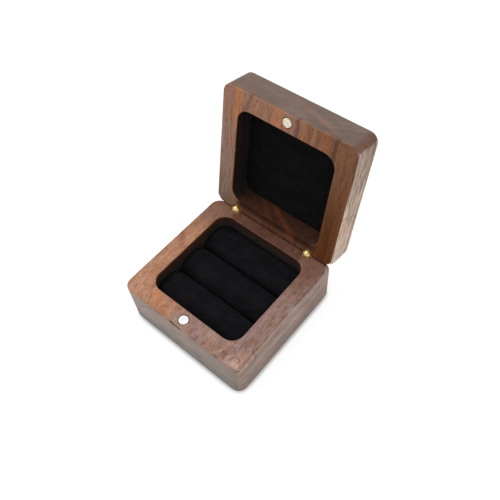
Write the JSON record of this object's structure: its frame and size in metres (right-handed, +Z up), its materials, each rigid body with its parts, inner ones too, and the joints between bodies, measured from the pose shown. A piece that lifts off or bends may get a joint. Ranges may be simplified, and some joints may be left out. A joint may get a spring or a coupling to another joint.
{
  "type": "ring display box",
  "caption": "Small square walnut box with a hinged lid, magnets in the rims and a slotted black velvet pad that holds rings upright.",
  "frame": {"origin": "centre of the underside of the base", "axes": "+Z up, +Y towards the hinges, +X to the right as the open box is seen from the front"},
  "size_m": [0.06, 0.0821, 0.0783],
  "materials": {
    "walnut": "oiled",
    "brass": "polished",
    "nickel": "satin nickel plate",
    "velvet": "short pile",
    "foam": "closed-cell foam",
    "board": "grey card"
  },
  "bodies": {
    "base": {"base_body": "walnut", "base_magnet": "nickel", "base_barrel_left": "brass", "base_barrel_right": "brass", "hinge_pin_left": "brass", "hinge_pin_right": "brass", "pad_board": "board", "foam_core_front": "foam", "foam_core_middle": "foam", "foam_core_rear": "foam", "velvet_roll_front": "velvet", "velvet_roll_middle": "velvet", "velvet_roll_rear": "velvet"},
    "lid": {"lid_body": "walnut", "lid_magnet": "nickel", "lid_barrel_left": "brass", "lid_barrel_right": "brass", "lid_board": "board", "lid_lining": "velvet"}
  },
  "joints": [
    {"name": "lid_hinge", "type": "hinge", "parent": "base", "child": "lid", "pos_m": [0, 0.027, 0.02265], "axis": [1, 0, 0], "range_deg": [0, 102]}
  ]
}
